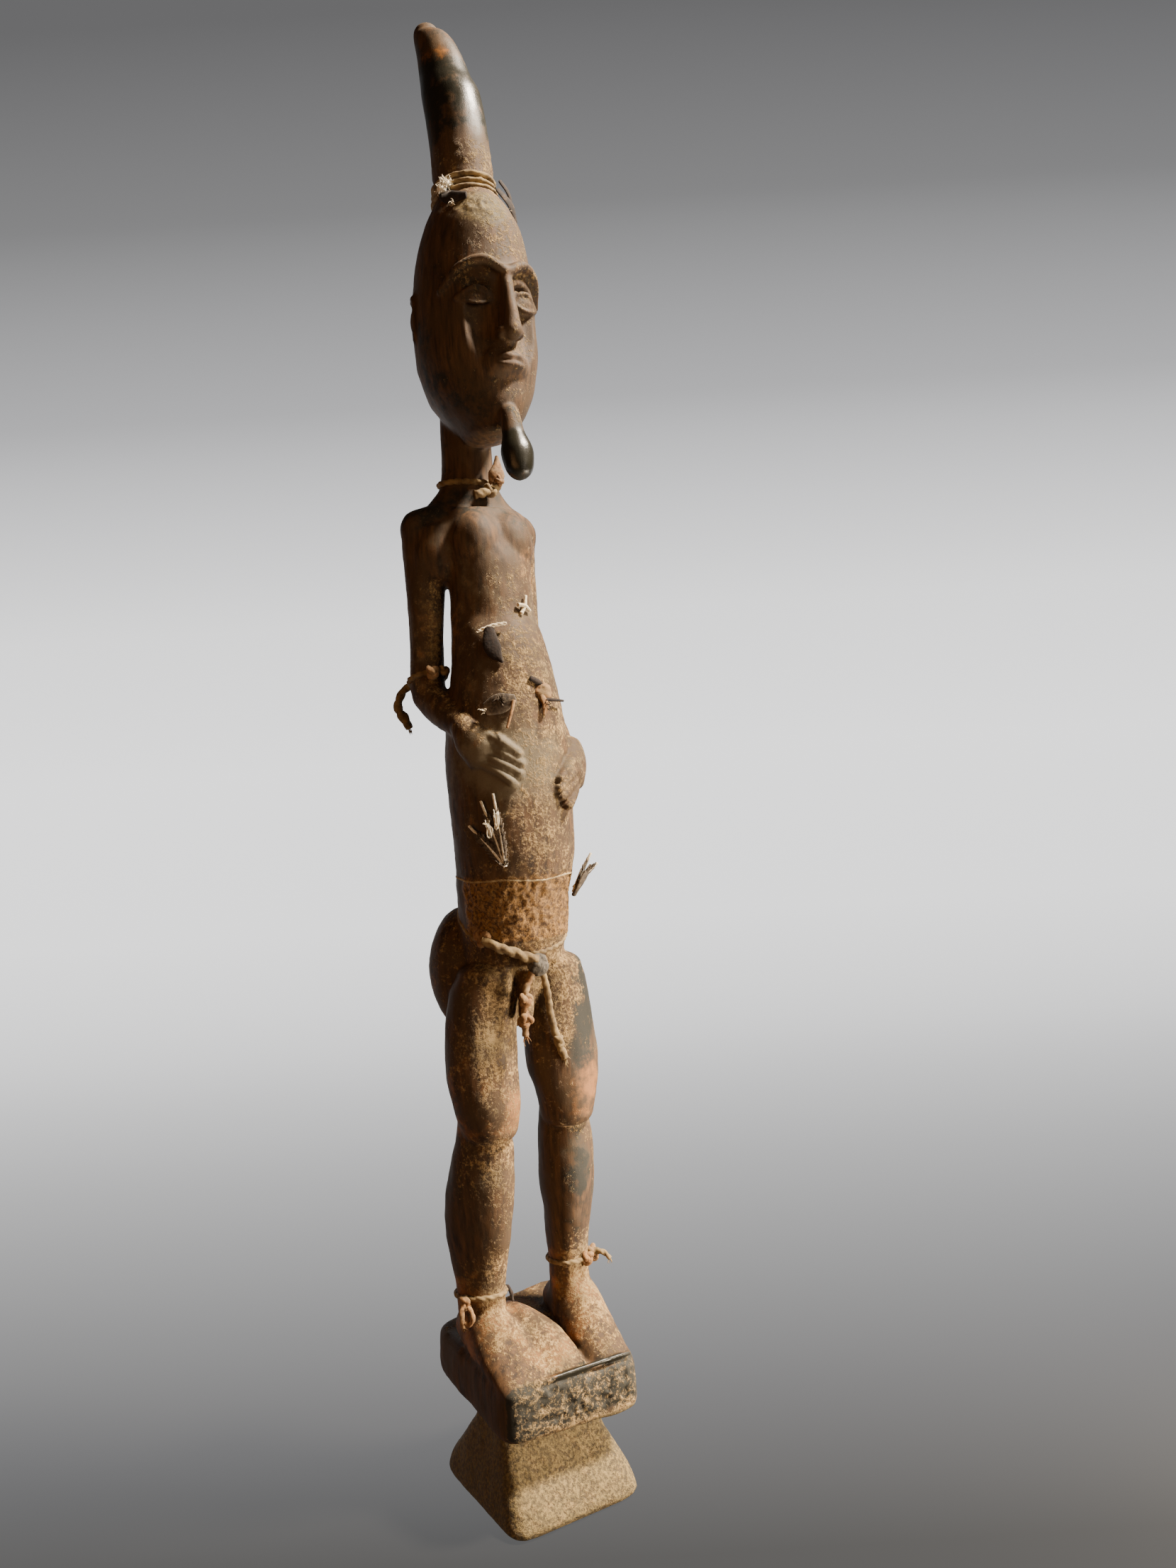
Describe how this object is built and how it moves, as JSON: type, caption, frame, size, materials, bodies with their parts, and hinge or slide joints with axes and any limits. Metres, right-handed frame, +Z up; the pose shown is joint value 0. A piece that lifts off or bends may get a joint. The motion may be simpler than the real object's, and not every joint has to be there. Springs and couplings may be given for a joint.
{
  "type": "senufo fetish figure",
  "caption": "Standing carved wooden figure with a tall horn crest and beard peg, hands on the belly, on an hourglass base, tied with fibre cords and feathers.",
  "frame": {"origin": "middle of the base's flat underside, on the surface that it stands on", "axes": "+Z up along the figure, the figure faces -Y, and +X is towards its left hand"},
  "size_m": [0.0808, 0.0826, 0.7077],
  "materials": {
    "wood": "crusted and worn, glossy on the crest",
    "fibre": "matte, clay-caked",
    "feather": "matte, dusty",
    "plant_down": "matte"
  },
  "bodies": {
    "root": {"carved_figure": "wood", "crest_binding": "fibre", "neck_cord": "fibre", "right_elbow_cord": "fibre", "left_elbow_cord": "fibre", "waist_thread": "fibre", "hip_cord": "fibre", "right_ankle_cord": "fibre", "left_ankle_cord": "fibre", "chest_shreds": "fibre", "belly_feathers": "feather", "side_feathers": "feather", "belly_clump": "feather", "hand_flake": "feather", "crest_tuft": "plant_down", "chest_straw": "plant_down"}
  },
  "joints": []
}
